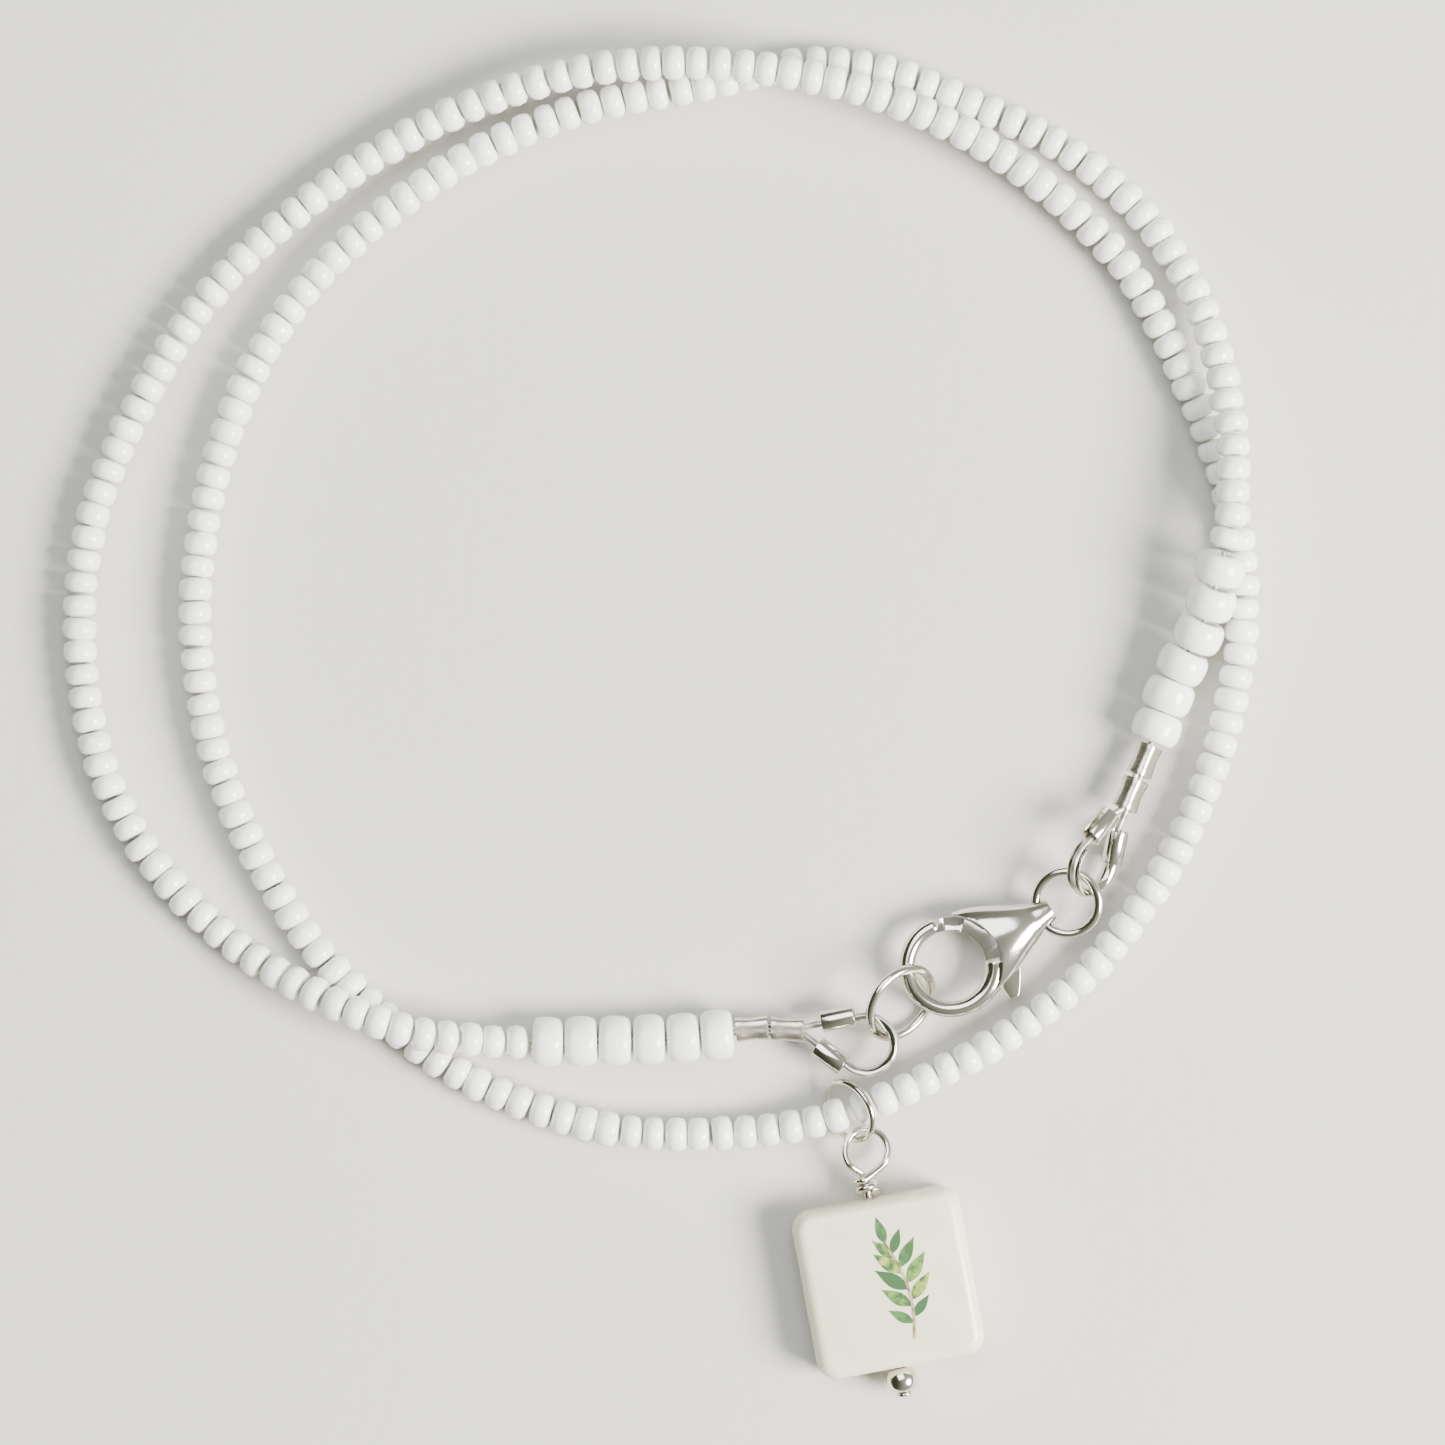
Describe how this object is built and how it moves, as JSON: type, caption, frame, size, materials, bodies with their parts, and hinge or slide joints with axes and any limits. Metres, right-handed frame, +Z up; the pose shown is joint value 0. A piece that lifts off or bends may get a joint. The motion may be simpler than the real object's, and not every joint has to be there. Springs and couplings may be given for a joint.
{
  "type": "beaded necklace",
  "caption": "Loop of small white glass beads with larger end beads, a silver trigger clasp on jump rings and a square shell tile pendant, lying in two turns.",
  "frame": {"origin": "middle of the outline of the necklace on the surface that it lies on", "axes": "+Z up from the surface, -Y from the loop towards the pendant, +X to the right of the loop seen from above with the pendant towards the viewer"},
  "size_m": [0.0705, 0.0794, 0.0048],
  "materials": {
    "seed_beads": "opaque white glass, fire polished and glossy",
    "end_beads": "opaque white glass, fire polished and glossy",
    "silver": "polished sterling silver",
    "beading_wire": "steel cable under a clear nylon coat",
    "shell": "polished mother of pearl with a printed plant"
  },
  "bodies": {
    "necklace": {"seed_strand_right": "seed_beads", "seed_strand_left": "seed_beads", "end_bead_right_1": "end_beads", "end_bead_right_2": "end_beads", "end_bead_right_3": "end_beads", "end_bead_right_4": "end_beads", "end_bead_right_5": "end_beads", "end_bead_right_6": "end_beads", "end_bead_left_1": "end_beads", "end_bead_left_2": "end_beads", "end_bead_left_3": "end_beads", "end_bead_left_4": "end_beads", "end_bead_left_5": "end_beads", "end_bead_left_6": "end_beads", "crimp_right_1": "silver", "crimp_right_2": "silver", "crimp_left_1": "silver", "crimp_left_2": "silver", "wire_guard_right": "silver", "wire_guard_left": "silver", "clasp_ring": "silver", "end_ring": "silver", "pendant_ring": "silver", "clasp_body": "silver", "head_pin": "silver", "pin_bead": "silver", "beading_wire_right": "beading_wire", "beading_wire_left": "beading_wire", "shell_tile": "shell"},
    "lever": {"clasp_lever": "silver"}
  },
  "joints": [
    {"name": "lever_hinge", "type": "hinge", "parent": "necklace", "child": "lever", "pos_m": [0.02001, -0.01189, 0.0016], "axis": [0, 0, 1], "range_deg": [0, 25], "stiffness_Nm_per_rad": 0.0004}
  ]
}
